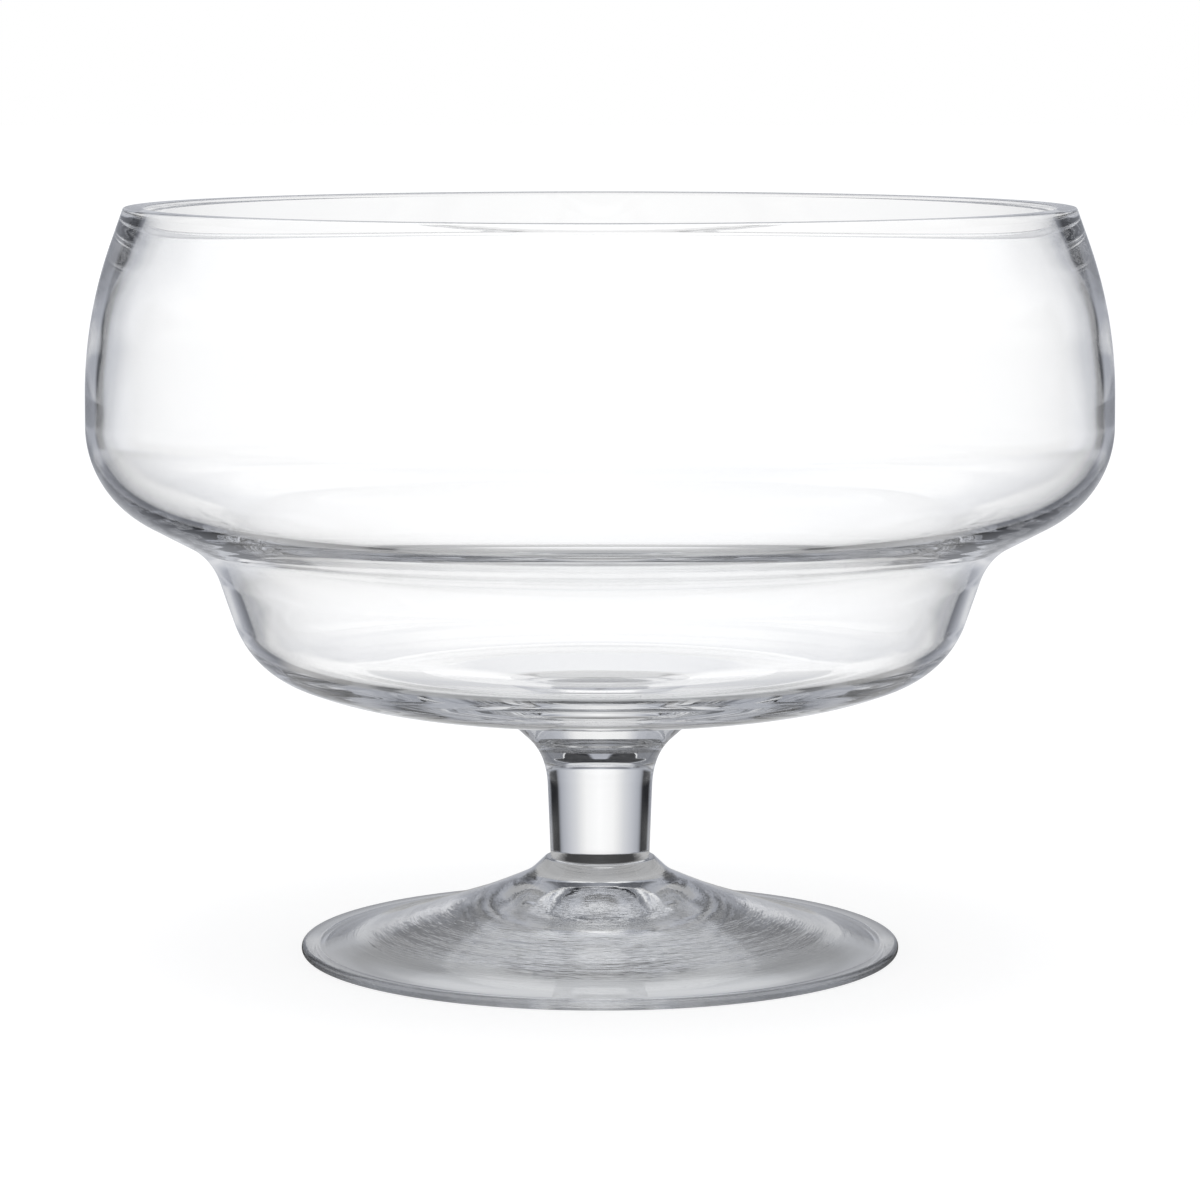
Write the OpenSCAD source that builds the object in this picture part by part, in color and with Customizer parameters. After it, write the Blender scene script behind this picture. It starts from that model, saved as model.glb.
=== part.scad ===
// Footed trifle bowl in clear blown glass.
// A wide bowl with a cut rim steps in at its waist to a smaller lower cup.
// A solid drawn stem with a flared head joins it to a round, hollow-cut foot.
// Lengths are in millimetres. The origin lies on the table, on the bowl's axis, and +Z is up.
// Every outline is a list of corners [radius, height, rounding] that is turned about the axis.

/* [Bowl outside] */
// Height of the bowl from the stem's head to the rim
bowl_h = 120.7; // [112:0.1:130]
// Radius of the cut rim, outside
rim_r = 110.6; // [107:0.1:113]
// Radius of the shoulder corner, where the wall turns upright
shoulder_r = 119.8; // [118:0.1:122]
// Height of the shoulder corner above the stem's head
shoulder_z = 95.4; // [90:0.1:100]
// Rounding of the shoulder
shoulder_round = 105; // [80:1:115]
// Radius of the belly corner, where the wall turns in
belly_r = 120.1; // [118:0.1:122]
// Height of the belly corner above the stem's head
belly_z = 55.3; // [53:0.1:60]
// Rounding of the belly
belly_round = 25; // [18:0.5:28]
// Radius of the waist corner, between the belly and the lower cup
waist_r = 91.4; // [88:0.1:94]
// Height of the waist corner above the stem's head
waist_z = 40; // [37:0.1:42]
// Rounding of the waist
waist_round = 16.7; // [10:0.1:19]
// Radius of the lower cup's corner
cup_r = 82.5; // [79:0.1:85]
// Height of the lower cup's corner above the stem's head
cup_z = 13.7; // [12:0.1:16]
// Rounding of the lower cup
cup_round = 23; // [14:0.5:24]
// Radius where the underside turns towards the stem
under_r = 63.9; // [58:0.1:66]
// Height of that turn above the stem's head
under_z = 6.6; // [5.5:0.1:7.5]
// Rounding of that turn
under_round = 79; // [30:1:82]

/* [Bowl inside] */
// Width of the cut rim
rim_wall = 5.1; // [3.5:0.1:6]
// How far the thick lip reaches down inside
lip_drop = 20.5; // [14:0.1:26]
// Wall at the foot of the lip, measured level from the shoulder corner
lip_wall = 4.8; // [3.5:0.1:5.5]
// Rounding of the wall below the lip
lip_round = 56; // [30:1:60]
// Inner belly corner, how far in from the outer one
belly_in = 1.35; // [1:0.05:2.5]
// Inner belly corner, how far above the outer one
belly_up = 2.4; // [1.5:0.1:4]
// Inner rounding of the belly
belly_inner_round = 21.2; // [15:0.1:24]
// Inner waist corner, how far in from the outer one
waist_in = 2.85; // [2:0.05:4.5]
// Inner waist corner, how far above the outer one
waist_up = 2.7; // [1.5:0.1:4]
// Inner rounding of the waist
waist_inner_round = 18.3; // [12:0.1:20]
// Inner corner of the lower cup, how far in from the outer one
cup_in = 2.85; // [1.5:0.05:4]
// Inner corner of the lower cup, how far above the outer one
cup_up = 2.9; // [2:0.1:5]
// Inner rounding of the lower cup
cup_inner_round = 14.9; // [8:0.1:18]
// Radius where the inner floor levels out
pan_r = 58; // [52:0.5:64]
// Height of that place above the stem's head
pan_z = 10.5; // [8.5:0.1:12]
// Rounding of that place
pan_round = 20; // [8:0.5:30]
// Radius of the well sunk in the middle of the floor
well_r = 42.2; // [36:0.1:48]
// Height of the well's edge above the stem's head
well_z = 10.4; // [8.5:0.1:12]
// Rounding of the well's edge
well_edge_round = 1; // [0.5:0.1:4]
// Radius of the well's level middle
well_floor_r = 20; // [12:0.5:28]
// Depth of the well
well_depth = 2; // [0.5:0.1:3]
// Rounding at the foot of the well's slope
well_floor_round = 12; // [2:0.5:30]
// Rounding of the rim's two edges
rim_edge_round = 0.6; // [0.3:0.1:1.2]

/* [Stem] */
// Length of the stem between the foot's hub and the bowl
stem_h = 33; // [26:0.5:45]
// Radius of the stem's foot
stem_r = 11.7; // [10.5:0.1:12.2]
// Radius of the neck under the flare
neck_r = 12.5; // [12.3:0.1:13.5]
// How far the neck lies below the bowl
neck_drop = 13.1; // [11:0.1:15]
// Rounding of the neck
neck_round = 21; // [10:0.5:22]
// Radius of the flare's middle corner
flare_r = 14.3; // [13.6:0.1:15.5]
// How far the flare's middle corner lies below the bowl
flare_drop = 6.9; // [6:0.1:8]
// Rounding of the flare
flare_round = 13.5; // [8:0.5:14]
// Radius of the head that is fused to the bowl
head_r = 22; // [19:0.1:24]

/* [Foot] */
// Height of the foot's hub, where the stem stands
hub_h = 22.3; // [19:0.1:25]
// Radius of the hub's flat top
hub_r = 12.9; // [12.5:0.1:14]
// Rounding of the hub's edge
hub_edge_round = 0.8; // [0.4:0.1:1.5]
// Radius where the hub's flank runs out into the foot
flank_r = 16.8; // [15.5:0.1:19]
// How far that place lies below the hub's top
flank_drop = 3.7; // [3:0.1:5]
// Rounding of the flank
flank_round = 12; // [4:0.5:14]
// Radius of the foot's slope half way down
slope_r = 29.2; // [25:0.1:34]
// How far that place lies below the hub's top
slope_drop = 9.1; // [8:0.1:10.5]
// Rounding of the slope
slope_round = 130; // [60:1:150]
// Radius where the slope meets the flat brim
brim_r = 61; // [57:0.1:64]
// Glass of the brim at its inner end
brim_wall = 2.75; // [2.4:0.05:3.5]
// Rounding between the slope and the brim
brim_round = 62; // [30:1:65]
// Outer radius of the foot
foot_r = 70.8; // [68:0.1:74]
// Glass at the foot's edge
edge_wall = 2.4; // [1.8:0.1:2.8]
// Width of the flat ring that the foot stands on
ring_w = 3.2; // [2:0.1:5]
// Glass of the foot's slope half way down, measured upright
slope_wall = 4.5; // [3:0.1:6]
// Glass between the hollow and the hub's top
hub_wall = 12; // [8:0.1:14]
// Rounding of the hollow under the foot
hollow_round = 60; // [20:1:90]

/* [Hidden] */
// Turn between two points of a rounding, in degrees
arc_step = 5;
// Facets of a drawn circle
$fn = 180;
// Heights of the fused seats above the table
stem_z = hub_h;
bowl_z = hub_h + stem_h;
// The edge of the foot is a round bead
edge_round = edge_wall * 0.48;

// Rounded outlines
function unit(v) = v / norm(v);
// Half the angle between the two sides that meet at p
function half_angle(a, p, b) = acos(unit(a - p) * unit(b - p)) / 2;
// How much of each side a rounding r takes
function tangent(a, p, b, r) = r / tan(half_angle(a, p, b));
function place(c) = [c[0], c[1]];
// Length of side i, and how much of a side corner i takes
function side(c, i) = norm(place(c[i + 1]) - place(c[i]));
function taken(c, i) =
    i == 0 || i == len(c) - 1 || c[i][2] == 0 ? 0
    : tangent(place(c[i - 1]), place(c[i]), place(c[i + 1]), c[i][2]);
// Two roundings that meet on a short side give way alike
function give(c, i) =
    min(1,
        side(c, i - 1) / max(taken(c, i - 1) + taken(c, i), side(c, i - 1)),
        side(c, i) / max(taken(c, i) + taken(c, i + 1), side(c, i)));
function turned(v, angle) =
    [v[0] * cos(angle) - v[1] * sin(angle), v[0] * sin(angle) + v[1] * cos(angle)];
// Points of one rounding r at p
function arc(a, p, b, r) =
    let (
        half = half_angle(a, p, b),
        centre = p + unit(unit(a - p) + unit(b - p)) * r / sin(half),
        start = p + unit(a - p) * r / tan(half) - centre,
        sense = sign(cross(p - a, b - p)),
        turn = 180 - 2 * half,
        steps = max(2, ceil(turn / arc_step))
    )
    [for (k = [0 : steps]) centre + turned(start, sense * turn * k / steps)];
// A whole outline from its corners
function outline(c) = [
    for (i = [0 : len(c) - 1])
        each (taken(c, i) == 0 ? [place(c[i])]
            : arc(place(c[i - 1]), place(c[i]), place(c[i + 1]), c[i][2] * give(c, i)))
];

// The bowl, drawn above its seat on the stem's head
bowl_outside = [
    [0, 0, 0],
    [head_r, 0, 0],
    [under_r, under_z, under_round],
    [cup_r, cup_z, cup_round],
    [waist_r, waist_z, waist_round],
    [belly_r, belly_z, belly_round],
    [shoulder_r, shoulder_z, shoulder_round],
    [rim_r, bowl_h, rim_edge_round]
];
bowl_inside = [
    [rim_r - rim_wall, bowl_h, rim_edge_round],
    [shoulder_r - lip_wall, bowl_h - lip_drop, lip_round],
    [belly_r - belly_in, belly_z + belly_up, belly_inner_round],
    [waist_r - waist_in, waist_z + waist_up, waist_inner_round],
    [cup_r - cup_in, cup_z + cup_up, cup_inner_round],
    [pan_r, pan_z, pan_round],
    [well_r, well_z, well_edge_round],
    [well_floor_r, well_z - well_depth, well_floor_round],
    [0, well_z - well_depth, 0]
];

module bowl() {
    color([0.86, 0.9, 0.92, 0.35])
        translate([0, 0, bowl_z])
            rotate_extrude()
                polygon(outline(concat(bowl_outside, bowl_inside)));
}

// The stem, drawn down from the bowl's seat
module stem() {
    color([0.84, 0.88, 0.9, 0.45])
        translate([0, 0, stem_z])
            rotate_extrude()
                polygon(outline([
                    [0, 0, 0],
                    [stem_r, 0, 0],
                    [neck_r, stem_h - neck_drop, neck_round],
                    [flare_r, stem_h - flare_drop, flare_round],
                    [head_r, stem_h, 0],
                    [0, stem_h, 0]
                ]));
}

// The foot stands on a narrow ring and is hollow under its slope
foot_top = [
    [0, hub_h, 0],
    [hub_r, hub_h, hub_edge_round],
    [flank_r, hub_h - flank_drop, flank_round],
    [slope_r, hub_h - slope_drop, slope_round],
    [brim_r, brim_wall, brim_round],
    [foot_r, edge_wall, edge_round],
    [foot_r, 0, edge_round]
];
foot_hollow = [
    [foot_r - edge_wall / 2 - ring_w, 0, 0],
    [slope_r, hub_h - slope_drop - slope_wall, hollow_round],
    [0, hub_h - hub_wall, 0]
];

module foot() {
    color([0.82, 0.86, 0.89, 0.4])
        rotate_extrude()
            polygon(outline(concat(foot_top, foot_hollow)));
}

bowl();
stem();
foot();
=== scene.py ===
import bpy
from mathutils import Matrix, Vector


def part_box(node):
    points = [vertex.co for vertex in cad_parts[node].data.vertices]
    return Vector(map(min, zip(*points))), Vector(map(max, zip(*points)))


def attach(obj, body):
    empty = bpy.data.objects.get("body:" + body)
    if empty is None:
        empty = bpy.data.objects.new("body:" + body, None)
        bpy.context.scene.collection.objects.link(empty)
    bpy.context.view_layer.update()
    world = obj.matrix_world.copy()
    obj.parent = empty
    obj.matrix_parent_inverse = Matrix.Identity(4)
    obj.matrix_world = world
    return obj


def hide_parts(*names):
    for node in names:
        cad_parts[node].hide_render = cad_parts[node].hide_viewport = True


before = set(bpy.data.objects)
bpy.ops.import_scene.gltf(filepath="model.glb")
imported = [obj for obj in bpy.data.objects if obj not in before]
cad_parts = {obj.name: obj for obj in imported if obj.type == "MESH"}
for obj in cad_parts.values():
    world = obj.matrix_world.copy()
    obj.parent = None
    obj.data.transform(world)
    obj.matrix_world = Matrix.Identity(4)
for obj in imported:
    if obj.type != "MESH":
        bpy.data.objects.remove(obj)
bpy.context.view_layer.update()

import math

import bpy
import numpy as np
from bpy.props import FloatProperty, FloatVectorProperty, IntProperty, PointerProperty

bl_info = {
    "name": "Footed trifle bowl",
    "version": (1, 0, 0),
    "blender": (4, 5, 0),
    "location": "3D View > Sidebar > Trifle bowl",
    "description": "Builds the clear glass of a footed trifle bowl and the table it stands on",
    "category": "Object",
}

MM = 0.001
# Corners closer than this are one corner
SAME_SPOT = 1e-6
# No radius below this is divided by
LEAST_RADIUS = 1e-4
# Thick glass passes light on many times before it comes out
BOUNCES = 64
# How brightly the world lights plain surfaces
PLAIN_LIGHT = 0.75

# Heights and radii of the two fused seats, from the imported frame
STEM_LOW, STEM_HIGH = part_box("stem")
SEAT_LOW = STEM_LOW[2]
SEAT_HIGH = STEM_HIGH[2]
FOOT_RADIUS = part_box("foot")[1][0]
BELLY_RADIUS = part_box("bowl")[1][0]
# Tool marks run over the foot's slope, between these radii, and fade out over this length
MARKS_INNER = FOOT_RADIUS * 0.2
MARKS_OUTER = FOOT_RADIUS * 0.88
MARKS_FADE = 4 * MM
# Two sizes of tool marks: spacing, cells round the axis and share of the depth
MARK_SCALES = ((0.9 * MM, 19, 0.4), (2.4 * MM, 11, 0.6))
MARK_SEED = 7
# The fine marks of each piece, and how deep they are as a bump
BOWL_MARKS = ({"Spacing": 2.5 * MM, "Length": 2.0, "Inner": 30 * MM, "Outer": BELLY_RADIUS * 1.1}, 0.001 * MM)
STEM_MARKS = ({"Spacing": 1.5 * MM, "Length": 1.5, "Inner": 0.0, "Outer": 40 * MM}, 0.002 * MM)
FOOT_MARKS = ({"Spacing": 0.35 * MM, "Length": 7.0, "Inner": MARKS_INNER, "Outer": MARKS_OUTER}, 0.02 * MM)
# The slow ripple and tint of each piece, and how deep the ripple is as a bump
BOWL_POLISH = ({"Ripple": 14.0, "Tint": 0.1}, 0.012 * MM)
STEM_POLISH = ({"Ripple": 45.0, "Tint": 0.3}, 0.04 * MM)
FOOT_POLISH = ({"Ripple": 40.0, "Tint": 0.6}, 0.02 * MM)
# How much a step upwards counts beside a step outwards in the fine marks
MARKS_RISE = 0.7
# Scale of the faint clouds in the glass, and the noise levels between which they set in
CLOUD_SCALE = 9.0
CLOUD_FROM = (0.35, 0.65)
CLOUD_TINT = (0.93, 0.96, 1.0, 1.0)
WHITE = (1.0, 1.0, 1.0, 1.0)
GLASS_IOR = 1.52
# No face of a rounding turns by more than this
ARC_STEP = math.radians(2)
# An arc with less turn than this is drawn straight
LEAST_TURN = 1e-4


# Outlines


def seam_points(node):
    """The corners of a round node's outline, as [radius, height], and the edges between them.

    They are the ones that lie in the half plane y = 0, where the turned solid has its seam.
    """
    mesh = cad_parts[node].data
    keys, corners = {}, []
    index = {}
    for vertex in mesh.vertices:
        x, y, z = vertex.co
        if abs(y) < SAME_SPOT and x > -SAME_SPOT:
            key = (round(x / SAME_SPOT), round(z / SAME_SPOT))
            if key not in keys:
                keys[key] = len(corners)
                corners.append((max(x, 0.0), z))
            index[vertex.index] = keys[key]
    edges = set()
    for edge in mesh.edges:
        a, b = edge.vertices
        if a in index and b in index and index[a] != index[b]:
            edges.add((min(index[a], index[b]), max(index[a], index[b])))
    return corners, edges


def read_outline(node):
    """A round node's outline as an array of [radius, height], in order from one end to the other."""
    corners, edges = seam_points(node)
    beside = {i: set() for i in range(len(corners))}
    for a, b in edges:
        beside[a].add(b)
        beside[b].add(a)
    # a flat ring has no edge along the seam, so its two ends are joined here
    ends = [i for i in beside if len(beside[i]) == 1]
    while len(ends) > 2:
        pairs = [(math.dist(corners[a], corners[b]), a, b) for a in ends for b in ends if a < b]
        _, a, b = min(pairs)
        beside[a].add(b)
        beside[b].add(a)
        ends = [i for i in beside if len(beside[i]) == 1]
    if len(ends) != 2:
        raise RuntimeError(f"the outline of {node} isn't one open line")
    start = min(ends, key=lambda i: corners[i][0])
    order, last = [start], None
    while True:
        ahead = [i for i in beside[order[-1]] if i != last]
        if not ahead:
            break
        last = order[-1]
        order.append(ahead[0])
    return np.array([corners[i] for i in order])


def drop_straight(points, limit=math.radians(0.15)):
    """Leaves out the points that lie inside a straight stretch."""
    kept = [points[0]]
    for i in range(1, len(points) - 1):
        before = points[i] - kept[-1]
        after = points[i + 1] - points[i]
        turn = math.atan2(before[0] * after[1] - before[1] * after[0], float(before @ after))
        if abs(turn) > limit:
            kept.append(points[i])
    kept.append(points[-1])
    return np.array(kept)


def arc_turns(points, alike=0.03, steady=0.4, least=math.radians(0.3)):
    """Half of the turn of the arc under each stretch: zero where the outline is straight.

    The CAD draws a rounding as two or more chords of one length with one turn between them. alike and
    steady are the shares by which the lengths and the turns may differ, and least is the smallest turn.
    """
    steps = np.diff(points, axis=0)
    lengths = np.hypot(steps[:, 0], steps[:, 1])
    heading = np.arctan2(steps[:, 1], steps[:, 0])
    turns = (np.diff(heading) + math.pi) % (2 * math.pi) - math.pi
    halves = np.zeros(len(steps))
    first = 0
    while first < len(steps):
        last = first
        while last < len(turns):
            same_length = abs(lengths[last + 1] - lengths[last]) < alike * lengths[last]
            same_turn = abs(turns[last] - turns[first]) < steady * abs(turns[first])
            if not (same_length and same_turn and abs(turns[last]) > least):
                break
            last += 1
        if last > first:
            halves[first:last + 1] = np.mean(turns[first:last]) / 2
        first = last + 1
    return halves


def round_out(points, step):
    """Puts points on the true arcs between an outline's corners, no further apart than step."""
    points = drop_straight(points)
    halves = arc_turns(points)
    out = [points[0]]
    for a, b, half in zip(points[:-1], points[1:], halves):
        chord = b - a
        length = float(np.hypot(*chord))
        parts = max(1, math.ceil(length / step), math.ceil(abs(half) * 2 / ARC_STEP))
        side = np.array([chord[1], -chord[0]]) / length
        for k in range(1, parts + 1):
            if abs(half) < LEAST_TURN:
                out.append(a + chord * (k / parts))
                continue
            radius = length / 2 / math.sin(half)
            angle = half * (2 * k / parts - 1)
            along = 0.5 + math.sin(angle) * radius / length
            rise = radius * (math.cos(angle) - math.cos(half))
            out.append(a + chord * along + side * rise)
    return np.array(out)


# Meshes


def lathe(name, outline, segments, seam_bands=(), warp=None, warped=0):
    """Turns an outline about Z into one closed mesh.

    Bands named in seam_bands take the second material. warp moves the points from ring warped on.
    """
    turn = np.linspace(0, 2 * math.pi, segments, endpoint=False)
    cos, sin = np.cos(turn), np.sin(turn)
    blocks, rings, count = [], [], 0
    for i, (radius, height) in enumerate(outline):
        if i == warped:
            first = count
        if radius < SAME_SPOT:
            blocks.append(np.array([[0.0, 0.0, height]]))
            rings.append(np.full(segments, count))
            count += 1
        else:
            blocks.append(np.stack([radius * cos, radius * sin, np.full(segments, height)], axis=1))
            rings.append(np.arange(count, count + segments))
            count += segments
    spots = np.concatenate(blocks)
    faces, slots = [], []
    for i, (low, high) in enumerate(zip(rings[:-1], rings[1:])):
        a, b = low, np.roll(low, -1)
        c, d = np.roll(high, -1), high
        if low[0] == low[1]:
            band = np.stack([a, c, d], axis=1)
        elif high[0] == high[1]:
            band = np.stack([a, b, d], axis=1)
        else:
            band = np.stack([a, b, c, d], axis=1)
        faces += band.tolist()
        slots += [1 if i in seam_bands else 0] * len(band)
    if warp is not None:
        spots[first:] = warp(spots[first:])
    mesh = bpy.data.meshes.new(name)
    mesh.from_pydata(spots.tolist(), [], faces)
    mesh.polygons.foreach_set("material_index", slots)
    mesh.polygons.foreach_set("use_smooth", [True] * len(faces))
    # the seam's edge is sharp, so that the glass beside it keeps its own slope
    seam = set()
    for i in seam_bands:
        for ring in (rings[i], rings[i + 1]):
            if ring[0] != ring[1]:
                seam.update((min(a, b), max(a, b)) for a, b in zip(ring.tolist(), np.roll(ring, -1).tolist()))
    sharp = [tuple(sorted(edge.vertices)) in seam for edge in mesh.edges]
    mesh.attributes.new("sharp_edge", "BOOLEAN", "EDGE").data.foreach_set("value", sharp)
    mesh.update()
    piece = bpy.data.objects.new(name, mesh)
    bpy.context.scene.collection.objects.link(piece)
    return piece


def ring_noise(radius, turn, spacing, cells, rng):
    """Smooth noise from 0 to 1 in streaks round the axis: rows spacing apart, each with its own cells."""
    rows = int(radius.max() / spacing) + 2
    levels = rng.random((rows, cells))
    offset = rng.random(rows) * cells

    def row(i):
        place = (turn / (2 * math.pi) * cells + offset[i]) % cells
        cell = np.floor(place).astype(int) % cells
        part = place - np.floor(place)
        part = part * part * (3 - 2 * part)
        return levels[i, cell] * (1 - part) + levels[i, (cell + 1) % cells] * part

    lower = np.floor(radius / spacing).astype(int)
    share = radius / spacing - lower
    share = share * share * (3 - 2 * share)
    return row(lower) * (1 - share) + row(lower + 1) * share


def tool_marks(spots, inner, outer, depth):
    """Cuts fine turned streaks into the upper side of the foot between two radii."""
    rng = np.random.default_rng(MARK_SEED)
    radius = np.hypot(spots[:, 0], spots[:, 1])
    turn = np.arctan2(spots[:, 1], spots[:, 0])
    cut = np.zeros(len(spots))
    for spacing, cells, share in MARK_SCALES:
        cut += share * ring_noise(radius, turn, spacing, cells, rng)
    window = np.clip((radius - inner) / MARKS_FADE, 0, 1) * np.clip((outer - radius) / MARKS_FADE, 0, 1)
    out = spots.copy()
    out[:, 2] -= depth * cut * window
    return out


def outward(outline):
    """The outline in the order that makes a turned mesh face out."""
    r, z = outline[:, 0], outline[:, 1]
    area = float(np.sum(r * np.roll(z, -1) - np.roll(r, -1) * z))
    return outline if area > 0 else outline[::-1]


# Materials


class Nodes:
    """Adds and links nodes in one node tree."""

    def __init__(self, tree):
        self.tree = tree

    def add(self, kind, **settings):
        node = self.tree.nodes.new(kind)
        for name, value in settings.items():
            setattr(node, name, value)
        return node

    def link(self, source, target):
        self.tree.links.new(source, target)

    def feed(self, node, **values):
        """Sets or links inputs. They go by label or, as i0, i1 and so on, by place."""
        for name, value in values.items():
            by_place = name[0] == "i" and name[1:].isdigit()
            socket = node.inputs[int(name[1:]) if by_place else name.replace("_", " ")]
            if isinstance(value, bpy.types.NodeSocket):
                self.link(value, socket)
            else:
                socket.default_value = value
        return node

    def math(self, operation, *values, clamp=False):
        node = self.add("ShaderNodeMath", operation=operation, use_clamp=clamp)
        for i, value in enumerate(values):
            self.feed(node, **{f"i{i}": value})
        return node.outputs[0]

    def ramp(self, value, low, high, out_low=0.0, out_high=1.0, smooth=True):
        """Goes from out_low to out_high as value goes from low to high."""
        node = self.add("ShaderNodeMapRange", interpolation_type="SMOOTHSTEP" if smooth else "LINEAR")
        self.feed(node, i0=value, i1=low, i2=high, i3=out_low, i4=out_high)
        return node.outputs[0]

    def stops(self, value, points):
        """A level that goes straight from each (place, level) to the next."""
        level = points[0][1]
        for (start, low), (end, high) in zip(points[:-1], points[1:]):
            if low != high:
                level = self.math("ADD", level, self.ramp(value, start, end, 0.0, high - low, smooth=False))
        return level

    def band(self, value, low, high, soft):
        """1 between low and high, falling to 0 over soft around each end."""
        up = self.ramp(value, low - soft / 2, low + soft / 2)
        down = self.ramp(value, high - soft / 2, high + soft / 2, 1.0, 0.0)
        return self.math("MULTIPLY", up, down)

    def radius(self, x, y):
        """The distance from the bowl's axis."""
        return self.math("SQRT", self.math("ADD", self.math("MULTIPLY", x, x), self.math("MULTIPLY", y, y)))

    def blend(self, first, second, share):
        node = self.add("ShaderNodeMix", data_type="FLOAT")
        self.feed(node, i0=share, i2=first, i3=second)
        return node.outputs[0]


def new_material(name):
    material = bpy.data.materials.new(name)
    material.use_nodes = True
    material.node_tree.nodes.clear()
    return material, Nodes(material.node_tree)


def seam_material():
    """The fused seat between two gathers: both sides are one glass, so light passes straight on."""
    material, n = new_material("fused_seat")
    clear = n.add("ShaderNodeBsdfTransparent")
    clear.inputs["Color"].default_value = WHITE
    out = n.add("ShaderNodeOutputMaterial")
    n.link(clear.outputs[0], out.inputs["Surface"])
    return material


def group(name, inputs, outputs):
    """An empty shader node group with named inputs (name: default) and float or colour outputs."""
    tree = bpy.data.node_groups.new(name, "ShaderNodeTree")
    for label, value in inputs.items():
        socket = tree.interface.new_socket(label, in_out="INPUT", socket_type="NodeSocketFloat")
        socket.default_value = value
    for label, kind in outputs.items():
        tree.interface.new_socket(label, in_out="OUTPUT", socket_type=kind)
    n = Nodes(tree)
    return tree, n, n.add("NodeGroupInput"), n.add("NodeGroupOutput")


def tool_mark_group():
    """Fine streaks that run round the axis, as the glass-maker's tools leave them on turning glass."""
    tree, n, given, out = group(
        "tool_marks",
        {"Spacing": 0.6 * MM, "Length": 5.0, "Inner": 0.0, "Outer": 1.0, "Fade": MARKS_FADE},
        {"Height": "NodeSocketFloat"})
    spot = n.add("ShaderNodeSeparateXYZ")
    n.link(n.add("ShaderNodeTexCoord").outputs["Object"], spot.inputs[0])
    x, y, z = spot.outputs
    radius = n.radius(x, y)
    safe = n.math("MAXIMUM", radius, LEAST_RADIUS)
    # noise over the direction and the distance from the axis makes streaks that run round it
    around = n.add("ShaderNodeCombineXYZ")
    n.link(n.math("MULTIPLY", n.math("DIVIDE", x, safe), given.outputs["Length"]), around.inputs[0])
    n.link(n.math("MULTIPLY", n.math("DIVIDE", y, safe), given.outputs["Length"]), around.inputs[1])
    along = n.math("MULTIPLY_ADD", z, MARKS_RISE, radius)
    n.link(n.math("DIVIDE", along, given.outputs["Spacing"]), around.inputs[2])
    streaks = n.add("ShaderNodeTexNoise", noise_dimensions="3D")
    n.feed(streaks, Vector=around.outputs[0], Scale=1.0, Detail=1.0, Roughness=0.5)
    rise = n.add("ShaderNodeMapRange", interpolation_type="SMOOTHSTEP")
    n.feed(rise, i0=radius, i1=given.outputs["Inner"],
           i2=n.math("ADD", given.outputs["Inner"], given.outputs["Fade"]))
    fall = n.add("ShaderNodeMapRange", interpolation_type="SMOOTHSTEP")
    n.feed(fall, i0=radius, i1=n.math("SUBTRACT", given.outputs["Outer"], given.outputs["Fade"]),
           i2=given.outputs["Outer"], i3=1.0, i4=0.0)
    mask = n.math("MULTIPLY", rise.outputs[0], fall.outputs[0])
    n.link(n.math("MULTIPLY", streaks.outputs["Fac"], mask), out.inputs["Height"])
    return tree


def fire_polish_group():
    """The slow ripple and the faint uneven tint of hot-worked glass."""
    tree, n, given, out = group(
        "fire_polish",
        {"Ripple": 22.0, "Tint": 0.3, "Bloom": 0.005},
        {"Height": "NodeSocketFloat", "Colour": "NodeSocketColor", "Roughness": "NodeSocketFloat"})
    spot = n.add("ShaderNodeTexCoord").outputs["Object"]
    ripple = n.add("ShaderNodeTexNoise", noise_dimensions="3D")
    n.feed(ripple, Vector=spot, Scale=given.outputs["Ripple"], Detail=0.0, Roughness=0.5)
    cloud = n.add("ShaderNodeTexNoise", noise_dimensions="3D")
    n.feed(cloud, Vector=spot, Scale=CLOUD_SCALE, Detail=1.0, Roughness=0.5)
    share = n.math("MULTIPLY", n.ramp(cloud.outputs["Fac"], *CLOUD_FROM), given.outputs["Tint"], clamp=True)
    tint = n.add("ShaderNodeMix", data_type="RGBA")
    n.link(share, tint.inputs[0])
    tint.inputs[6].default_value = WHITE
    tint.inputs[7].default_value = CLOUD_TINT
    n.link(ripple.outputs["Fac"], out.inputs["Height"])
    n.link(tint.outputs[2], out.inputs["Colour"])
    n.link(n.math("MULTIPLY", cloud.outputs["Fac"], given.outputs["Bloom"]), out.inputs["Roughness"])
    return tree


def shared_group(name, build):
    """A node group that is built once and then shared."""
    return bpy.data.node_groups.get(name) or build()


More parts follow.
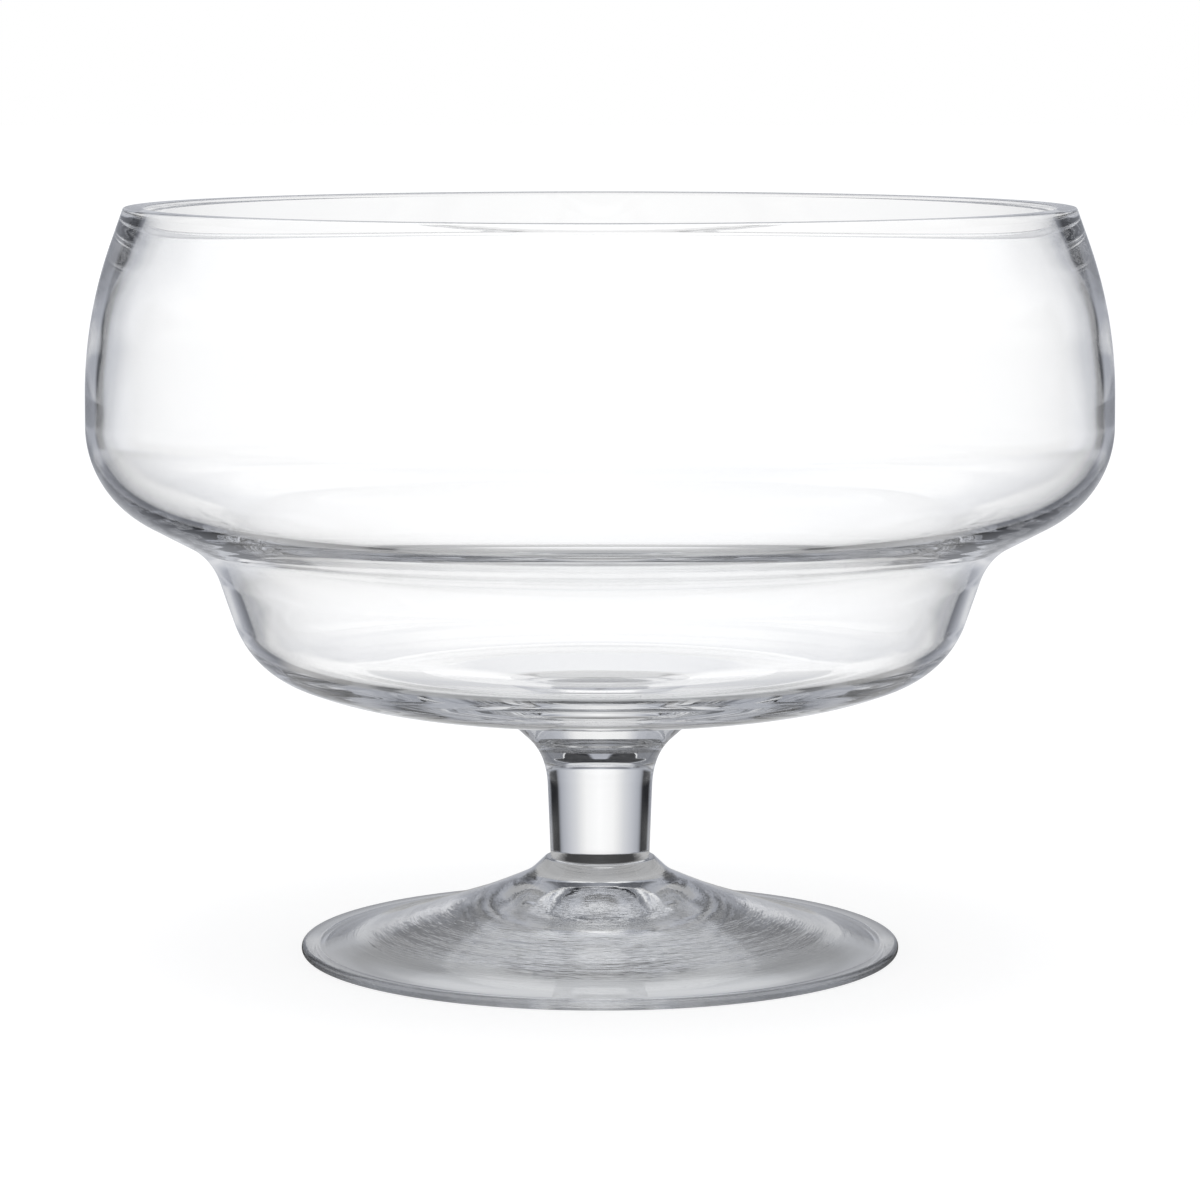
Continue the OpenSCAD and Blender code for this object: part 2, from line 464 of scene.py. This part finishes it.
def glass_material(name, colour, marks, marks_depth, polish, ripple_depth):
    """Clear glass with slow ripples and turned tool marks.

    marks and polish are input values of the two groups. The depths are those of the bumps.
    """
    material, n = new_material(name)
    turned = n.add("ShaderNodeGroup", node_tree=shared_group("tool_marks", tool_mark_group))
    n.feed(turned, **marks)
    worked = n.add("ShaderNodeGroup", node_tree=shared_group("fire_polish", fire_polish_group))
    n.feed(worked, **polish)
    slow = n.add("ShaderNodeBump")
    n.feed(slow, Strength=1.0, Distance=ripple_depth, Height=worked.outputs["Height"])
    fine = n.add("ShaderNodeBump")
    n.feed(fine, Strength=1.0, Distance=marks_depth, Height=turned.outputs["Height"],
           Normal=slow.outputs[0])
    tinted = n.add("ShaderNodeMix", data_type="RGBA", blend_type="MULTIPLY")
    tinted.inputs[0].default_value = 1.0
    n.link(worked.outputs["Colour"], tinted.inputs[6])
    tinted.inputs[7].default_value = (*colour, 1.0)
    shader = n.add("ShaderNodeBsdfPrincipled")
    n.feed(shader, Base_Color=tinted.outputs[2], Roughness=worked.outputs["Roughness"], IOR=GLASS_IOR,
           Transmission_Weight=1.0, Normal=fine.outputs[0])
    out = n.add("ShaderNodeOutputMaterial")
    n.link(shader.outputs[0], out.inputs["Surface"])
    return material


# Properties


class GlassSettings(bpy.types.PropertyGroup):
    colour: FloatVectorProperty(
        name="Glass colour", description="Colour of the clear glass", subtype="COLOR",
        size=3, min=0.0, max=1.0, default=(0.998, 0.999, 1.0))
    segments: IntProperty(
        name="Segments", description="Faces around the axis", default=576, min=96, max=1440)
    step: FloatProperty(
        name="Step", description="Longest face along the outline", default=1.6 * MM,
        min=0.4 * MM, max=6 * MM, unit="LENGTH")
    mark_step: FloatProperty(
        name="Foot step",
        description="Longest face along the foot's outline, fine enough for its tool marks",
        default=0.4 * MM, min=0.2 * MM, max=4 * MM, unit="LENGTH")
    mark_depth: FloatProperty(
        name="Mark depth", description="Depth of the tool marks on the foot", default=0.08 * MM,
        min=0.0, max=0.3 * MM, unit="LENGTH")


class StageSettings(bpy.types.PropertyGroup):
    distance: FloatProperty(
        name="Camera distance", description="From the bowl's axis to the camera, level",
        default=1.042, min=0.5, max=4.0, unit="LENGTH")
    height: FloatProperty(
        name="Camera height", description="Camera above the table", default=0.2114,
        min=0.02, max=2.0, unit="LENGTH")
    pitch: FloatProperty(
        name="Camera pitch", description="How far the camera looks down",
        default=math.radians(7.001), min=0.0, max=math.radians(60), unit="ROTATION")
    lens: FloatProperty(
        name="Lens", description="Focal length for a 36 mm wide frame", default=133.66, min=30.0, max=300.0)


def settings():
    return bpy.context.scene.trifle_bowl_glass


# Operators


def dress(piece, node, material):
    """Gives a piece its glass and its see-through seat, and puts it in place of its CAD node."""
    piece.data.materials.append(material)
    piece.data.materials.append(bpy.data.materials.get("fused_seat") or seam_material())
    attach(piece, "root")
    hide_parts(node)


class BuildBowl(bpy.types.Operator):
    """Builds the bowl from its CAD outline"""
    bl_idname = "trifle_bowl.build_bowl"
    bl_label = "Build bowl"

    def execute(self, context):
        glass = settings()
        corners = read_outline("bowl")
        # the well's level middle has no edge along the seam, so the outline is led to the axis here
        corners = np.vstack([[[0.0, corners[0][1]]], corners])
        outline = outward(round_out(corners, glass.step))
        if outline[0][1] > outline[-1][1]:
            raise RuntimeError("the bowl's outline doesn't start at the stem's head")
        # the seat on the stem's head closes the outline
        outline = np.vstack([[[0.0, SEAT_HIGH]], outline])
        piece = lathe("bowl_glass", outline, glass.segments, seam_bands=(0,))
        dress(piece, "bowl", glass_material("bowl_glass", glass.colour, *BOWL_MARKS, *BOWL_POLISH))
        return {"FINISHED"}


class BuildStem(bpy.types.Operator):
    """Builds the stem from its CAD outline"""
    bl_idname = "trifle_bowl.build_stem"
    bl_label = "Build stem"

    def execute(self, context):
        glass = settings()
        outline = round_out(read_outline("stem"), glass.step * 0.5)
        if outline[0][1] > outline[-1][1]:
            outline = outline[::-1]
        outline = np.vstack([[[0.0, SEAT_LOW]], outline, [[0.0, SEAT_HIGH]]])
        piece = lathe("stem_glass", outline, glass.segments, seam_bands=(0, len(outline) - 2))
        dress(piece, "stem", glass_material("stem_glass", glass.colour, *STEM_MARKS, *STEM_POLISH))
        return {"FINISHED"}


class BuildFoot(bpy.types.Operator):
    """Builds the foot from its CAD outline"""
    bl_idname = "trifle_bowl.build_foot"
    bl_label = "Build foot"

    def execute(self, context):
        glass = settings()
        outline = outward(round_out(read_outline("foot"), glass.mark_step))
        seat = read_outline("stem")[:, 0].min()
        if outline[-1][1] < outline[0][1]:
            raise RuntimeError("the foot's outline doesn't end at the stem")
        # the seat under the stem closes the outline
        outline = np.vstack([outline, [[seat, SEAT_LOW], [0.0, SEAT_LOW]]])
        band = len(outline) - 2
        # the upper side comes after the edge
        edge = int(np.argmax(outline[:, 0]))

        def mark(spots):
            return tool_marks(spots, MARKS_INNER, MARKS_OUTER, glass.mark_depth)

        piece = lathe("foot_glass", outline, glass.segments, seam_bands=(band,), warp=mark, warped=edge + 1)
        dress(piece, "foot", glass_material("foot_glass", glass.colour, *FOOT_MARKS, *FOOT_POLISH))
        return {"FINISHED"}


class BuildStage(bpy.types.Operator):
    """Sets out the table, the studio light and the camera"""
    bl_idname = "trifle_bowl.build_stage"
    bl_label = "Build stage"

    def execute(self, context):
        build_floor()
        build_world()
        build_lamps()
        build_camera(context.scene.trifle_bowl_stage)
        context.scene.view_settings.view_transform = "Standard"
        cycles = context.scene.cycles
        cycles.max_bounces = cycles.transmission_bounces = cycles.glossy_bounces = BOUNCES
        cycles.transparent_max_bounces = BOUNCES
        return {"FINISHED"}


# Stage


# Half the width of the table in metres, and the hair's breadth that it lies under the foot
TABLE_HALF = 12.0
TABLE_GAP = 0.05 * MM


def build_floor():
    mesh = bpy.data.meshes.new("table")
    corners = [(x * TABLE_HALF, y * TABLE_HALF, 0) for x, y in ((-1, -1), (1, -1), (1, 1), (-1, 1))]
    mesh.from_pydata(corners, [], [(0, 1, 2, 3)])
    floor = bpy.data.objects.new("table", mesh)
    floor.location.z = -TABLE_GAP
    bpy.context.scene.collection.objects.link(floor)
    mesh.materials.append(floor_material())


class StudioRays:
    """Shares of a ray that sort it by what it has met on its way from the eye."""

    def __init__(self, n):
        path = n.add("ShaderNodeLightPath").outputs
        self.camera = path["Is Camera Ray"]
        self.bent = n.math("MAXIMUM", path["Is Glossy Ray"], path["Is Transmission Ray"])
        # has crossed a face of the glass, and has crossed more than the two faces of one wall
        self.crossed = n.math("GREATER_THAN", path["Transmission Depth"], 0.5)
        self.deep = n.math("GREATER_THAN", path["Transmission Depth"], 2.5)
        # turned back inside the glass once, or so often that the wall leads it like a light guide
        self.turned = n.math("GREATER_THAN", path["Glossy Depth"], 0.5)
        often = n.math("GREATER_THAN", path["Glossy Depth"], GUIDED_TURNS + 0.5)
        self.guided = n.math("MULTIPLY", often, self.deep)


# The table seen through glass, in painted shadow and painted light: its level by the distance from the bowl's
# axis in metres, darkest under the hub, with a painted caustic ring round it and a dark ring at the foot's
# edge.
# Like the studio's levels below, these are tuned to the photo's tones, such as the bright ring under the hub
# and the dark edge of the foot.
TABLE_PAINTED_SHADE_AND_LIGHT = (
    (0.0, 0.06), (0.012, 0.05), (0.022, 0.03), (0.026, 0.45), (0.03, 0.5), (0.033, 0.4), (0.045, 0.5),
    (0.055, 0.62), (0.068, 0.62), (0.071, 0.16), (0.079, 0.16), (0.086, 0.5), (0.12, 0.65), (0.14, 0.8))
# Between these distances bent rays begin to see the studio instead
TABLE_FADE = (0.14, 0.19)
# Painted shade: beside the foot the table is darker than in front of it. By how much, from which share of the
# distance towards the camera, and at which distances from the axis this sets in
TABLE_ASIDE_PAINTED_SHADE = 0.66
TABLE_FRONT = (-0.9, -0.6)
TABLE_ASIDE_FROM = (0.035, 0.05)
# Paper for the eye: how much of its white answers to light, and how much is added
PAPER = 0.35
PAPER_LIFT = 0.8
# Painted light for rays that the wall leads on: after how many turns, and how bright the painted light is
GUIDED_TURNS = 4
GUIDED_PAINTED_LIGHT = 0.8


def floor_material():
    """White paper for the eye and plain light; bent rays see a grey table by the foot in painted shade and
    light.
    """
    material, n = new_material("table_white")
    rays = StudioRays(n)
    paper = n.add("ShaderNodeBsdfDiffuse")
    paper.inputs["Color"].default_value = (PAPER, PAPER, PAPER, 1.0)
    lift = n.add("ShaderNodeEmission")
    n.feed(lift, Strength=n.math("MULTIPLY", rays.camera, PAPER_LIFT))
    plain = n.add("ShaderNodeAddShader")
    n.link(paper.outputs[0], plain.inputs[0])
    n.link(lift.outputs[0], plain.inputs[1])
    spot = n.add("ShaderNodeSeparateXYZ")
    n.link(n.add("ShaderNodeNewGeometry").outputs["Position"], spot.inputs[0])
    x, y, _ = spot.outputs
    radius = n.radius(x, y)
    # painted shadow and light of the table round the foot, which glows for bent rays only
    near = n.add("ShaderNodeEmission")
    # painted shade on the table beside the foot
    front = n.math("DIVIDE", y, n.math("MAXIMUM", radius, LEAST_RADIUS))
    painted_aside_shade = n.ramp(front, *TABLE_FRONT, 1.0, TABLE_ASIDE_PAINTED_SHADE)
    shade = n.blend(1.0, painted_aside_shade, n.ramp(radius, *TABLE_ASIDE_FROM))
    level = n.math("MULTIPLY", n.stops(radius, TABLE_PAINTED_SHADE_AND_LIGHT), shade)
    n.feed(near, Strength=n.blend(level, GUIDED_PAINTED_LIGHT, rays.guided))
    clear = n.add("ShaderNodeBsdfTransparent")
    seen = n.add("ShaderNodeMixShader")
    n.link(n.ramp(radius, *TABLE_FADE), seen.inputs[0])
    n.link(near.outputs[0], seen.inputs[1])
    n.link(clear.outputs[0], seen.inputs[2])
    both = n.add("ShaderNodeMixShader")
    n.link(rays.bent, both.inputs[0])
    n.link(plain.outputs[0], both.inputs[1])
    n.link(seen.outputs[0], both.inputs[2])
    out = n.add("ShaderNodeOutputMaterial")
    n.link(both.outputs[0], out.inputs["Surface"])
    return material


# The levels below are painted reflections and refractions in the glass: each kind of ray, mirrored, through
# one wall or through both walls, sees its own levels.
# The studio that bent rays see, as levels by bearing. A bearing is in degrees from straight behind the
# bowl, alike on both sides. The levels began as a fit to the photo's tones, read off, rounded and thinned.
# They were then changed against renders, so they suit the photo's own view best.
# Through one wall: the table beyond the foot, the paper and its black screens, the same after a turn inside
# the glass, and what stands higher
FAR_TABLE = ((0, 0.95), (12, 0.7), (20, 0.35), (38, 0.14), (50, 0.2), (66, 0.65), (120, 0.7), (180, 0.8))
SCREENS = (
    (0, 1.04), (10, 0.96), (20, 0.7), (27, 0.58), (33, 0.48), (37, 0.42), (40, 0.3), (44, 0.02), (60, 0.02),
    (68, 0.4), (126, 0.4), (180, 0.5))
WALL = (
    (0, 0.98), (7, 0.9), (12, 0.5), (15, 0.42), (27, 0.42), (29, 0.02), (33.5, 0.0), (37, 0.35), (45, 0.45),
    (50, 0.4), (55, 0.04), (114, 0.04), (122, 0.35), (138, 0.35), (152, 0.03), (180, 0.03))
UPPER = ((0, 0.3), (8, 0.12), (20, 0.12), (26, 0.35), (40, 0.36), (180, 0.42))
# Mirrored by the outside, level and lower
MIRRORED = (
    (0, 0.6), (12, 0.45), (15, 0.35), (28, 0.37), (31, 0.02), (36, 0.0), (39, 0.35), (45, 0.5), (60, 1.1),
    (180, 1.25))
MIRRORED_LOW = ((0, 0.8), (12, 0.58), (28, 0.35), (34, 0.05), (62, 0.05), (90, 0.6), (180, 0.8))
# Through both walls, level and higher. A little over 1 is painted light that makes up for what the faces of
# the glass mirror away
THROUGH = ((0, 1.14), (11, 1.1), (15, 0.66), (30, 0.5), (180, 0.45))
THROUGH_HIGH = ((0, 0.52), (24, 0.5), (36, 0.2), (180, 0.2))
# Degrees of elevation over which one row gives way to the next
SCREENS_EDGE = (-13.5, -11)
WALL_EDGE = (-9.5, -8.5)
UPPER_EDGE = (11, 16)
CEILING_EDGE = (44, 54)
THROUGH_EDGE = (9, 14)
FLOOR_EDGE = (-34, -28)
MIRRORED_EDGE = (-9, -6)
ABOVE_EDGE = (14, 20)
# Panels: lowest, highest and softness of the elevation, then first, last and softness of the bearing. A
# first bearing below 0 keeps the panel whole straight behind the bowl
BACK_BOX = ((48, 72, 8), (-9, 14, 8))
DEEP_BOX = ((30, 54, 8), (-9, 32, 10))
SIDE_BOX = ((24, 44, 8), (58, 112, 14))
SMALL_BOX = ((19, 26, 4), (-5, 7, 4))
FAR_SIDE = ((-19, -7, 6), (45, 80, 20))
# Painted shade for rays through one wall towards the room's dark side behind the camera
ROOM_HEIGHTS = (28, 50, 6)
ROOM_FROM = (145, 165)
# Levels of the panels, of the ceiling and floor, and of what the outside mirrors from above
BACK_BOX_LEVEL = 0.45
DEEP_BOX_LEVEL = 0.9
SIDE_BOX_ADDS = 0.2
SMALL_BOX_ADDS = 0.5
FAR_SIDE_ADDS = 0.3
ROOM_TAKES = -0.8
DARK_CEILING = 0.03
FLOOR_LEVEL = 0.95
TABLE_CLIMB = (-50, -20)
TABLE_LOWEST = 0.75
ABOVE_FROM = (50, 70)
ABOVE_LEVELS = (0.15, 1.25)
# The cool colour of the studio's black screens, which tints the painted dark reflections in the glass and a
# little of the plain light, and the levels between which it gives way to white
SHADE = (0.93, 0.97, 1.08, 1.0)
SHADE_UNTIL = (0.3, 0.95)


def panel(n, climb, bearing, place):
    """1 inside a panel of the studio, falling to 0 around its edges."""
    heights, bearings = place
    return n.math("MULTIPLY", n.band(climb, *heights), n.band(bearing, *bearings))


def through_one_wall(n, rays, bearing, climb):
    """Levels for rays that have crossed one wall."""
    table = n.math("MULTIPLY", n.stops(bearing, FAR_TABLE), n.ramp(climb, *TABLE_CLIMB, TABLE_LOWEST, 1.0))
    level = n.blend(table, n.stops(bearing, SCREENS), n.ramp(climb, *SCREENS_EDGE))
    walled = n.blend(level, n.stops(bearing, WALL), n.ramp(climb, *WALL_EDGE))
    level = n.blend(level, walled, rays.turned)
    side_box = panel(n, climb, bearing, SIDE_BOX)
    upper = n.math("MULTIPLY_ADD", side_box, SIDE_BOX_ADDS, n.stops(bearing, UPPER))
    level = n.blend(level, upper, n.ramp(climb, *UPPER_EDGE))
    level = n.blend(level, DARK_CEILING, n.ramp(climb, *CEILING_EDGE))
    room = n.math("MULTIPLY", n.band(climb, *ROOM_HEIGHTS), n.ramp(bearing, *ROOM_FROM))
    level = n.math("MULTIPLY", level, n.math("MULTIPLY_ADD", room, ROOM_TAKES, 1.0))
    return n.blend(level, BACK_BOX_LEVEL, panel(n, climb, bearing, BACK_BOX))


def through_both_walls(n, bearing, climb):
    """Levels for rays that have crossed more glass than one wall."""
    far_side = panel(n, climb, bearing, FAR_SIDE)
    level = n.math("MULTIPLY_ADD", far_side, FAR_SIDE_ADDS, n.stops(bearing, THROUGH))
    level = n.blend(level, n.stops(bearing, THROUGH_HIGH), n.ramp(climb, *THROUGH_EDGE))
    level = n.blend(level, DEEP_BOX_LEVEL, panel(n, climb, bearing, DEEP_BOX))
    return n.blend(FLOOR_LEVEL, level, n.ramp(climb, *FLOOR_EDGE))


def off_the_outside(n, bearing, climb):
    """Levels for rays that the outside of the glass mirrors."""
    above = n.ramp(bearing, *ABOVE_FROM, *ABOVE_LEVELS)
    above = n.math("MULTIPLY_ADD", panel(n, climb, bearing, SMALL_BOX), SMALL_BOX_ADDS, above)
    level = n.blend(n.stops(bearing, MIRRORED_LOW), n.stops(bearing, MIRRORED), n.ramp(climb, *MIRRORED_EDGE))
    return n.blend(level, above, n.ramp(climb, *ABOVE_EDGE))


def build_world():
    world = bpy.data.worlds.new("studio")
    bpy.context.scene.world = world
    world.use_nodes = True
    world.node_tree.nodes.clear()
    n = Nodes(world.node_tree)
    rays = StudioRays(n)
    spot = n.add("ShaderNodeSeparateXYZ")
    n.link(n.add("ShaderNodeTexCoord").outputs["Generated"], spot.inputs[0])
    x, y, z = spot.outputs
    bearing = n.math("MULTIPLY", n.math("ABSOLUTE", n.math("ARCTAN2", x, y)), math.degrees(1))
    climb = n.math("MULTIPLY", n.math("ARCSINE", z), math.degrees(1))
    # the glass shows painted reflections and refractions: each kind of ray sees its own levels
    once = through_one_wall(n, rays, bearing, climb)
    level = n.blend(off_the_outside(n, bearing, climb), once, rays.crossed)
    level = n.blend(level, through_both_walls(n, bearing, climb), rays.deep)
    # rays that the wall leads on see a painted light
    level = n.blend(level, GUIDED_PAINTED_LIGHT, rays.guided)
    # the eye sees white paper, and plain surfaces get plain light
    strength = n.blend(n.ramp(rays.camera, 0.0, 1.0, PLAIN_LIGHT, 1.0), level, rays.bent)
    light = n.add("ShaderNodeBackground")
    n.link(strength, light.inputs["Strength"])
    cool = n.add("ShaderNodeMix", data_type="RGBA")
    n.link(n.ramp(strength, *SHADE_UNTIL), cool.inputs[0])
    cool.inputs[6].default_value = SHADE
    cool.inputs[7].default_value = WHITE
    n.link(cool.outputs[2], light.inputs["Color"])
    out = n.add("ShaderNodeOutputWorld")
    n.link(light.outputs[0], out.inputs["Surface"])


# The lamp over the table: its side in metres, its watts and its place
LAMP_SIDE = 0.9
LAMP_POWER = 6.0
LAMP_PLACE = (0.0, -0.2, 1.8)


def build_lamps():
    lamp = bpy.data.lights.new("soft_box", "AREA")
    lamp.shape = "SQUARE"
    lamp.size = LAMP_SIDE
    lamp.energy = LAMP_POWER
    stand = bpy.data.objects.new("soft_box", lamp)
    stand.location = LAMP_PLACE
    stand.visible_glossy = False
    stand.visible_transmission = False
    bpy.context.scene.collection.objects.link(stand)


# Width of the camera's sensor in millimetres, and the nearest and furthest distance it sees in metres
SENSOR_WIDTH = 36.0
CLIP = (0.05, 60.0)


def build_camera(stage):
    camera = bpy.data.cameras.new("camera")
    camera.sensor_width = SENSOR_WIDTH
    camera.lens = stage.lens
    camera.clip_start, camera.clip_end = CLIP
    stand = bpy.data.objects.new("camera", camera)
    stand.location = (0.0, -stage.distance, stage.height)
    stand.rotation_euler = (math.pi / 2 - stage.pitch, 0.0, 0.0)
    bpy.context.scene.collection.objects.link(stand)
    bpy.context.scene.camera = stand


# Panel


class BowlPanel(bpy.types.Panel):
    """Sizes, colours and builders of the trifle bowl"""
    bl_idname = "VIEW3D_PT_trifle_bowl"
    bl_label = "Trifle bowl"
    bl_space_type = "VIEW_3D"
    bl_region_type = "UI"
    bl_category = "Trifle bowl"

    def draw(self, context):
        layout = self.layout
        for group in (context.scene.trifle_bowl_glass, context.scene.trifle_bowl_stage):
            column = layout.column(align=True)
            for name in group.__annotations__:
                column.prop(group, name)
        for operator in OPERATORS:
            layout.operator(operator.bl_idname)


OPERATORS = (BuildBowl, BuildStem, BuildFoot, BuildStage)
CLASSES = (GlassSettings, StageSettings, *OPERATORS, BowlPanel)


def register():
    for cls in CLASSES:
        bpy.utils.register_class(cls)
    bpy.types.Scene.trifle_bowl_glass = PointerProperty(type=GlassSettings)
    bpy.types.Scene.trifle_bowl_stage = PointerProperty(type=StageSettings)


def unregister():
    del bpy.types.Scene.trifle_bowl_stage
    del bpy.types.Scene.trifle_bowl_glass
    for cls in reversed(CLASSES):
        bpy.utils.unregister_class(cls)


def main():
    register()
    bpy.ops.trifle_bowl.build_bowl()
    bpy.ops.trifle_bowl.build_stem()
    bpy.ops.trifle_bowl.build_foot()
    bpy.ops.trifle_bowl.build_stage()


if __name__ == "__main__":
    main()
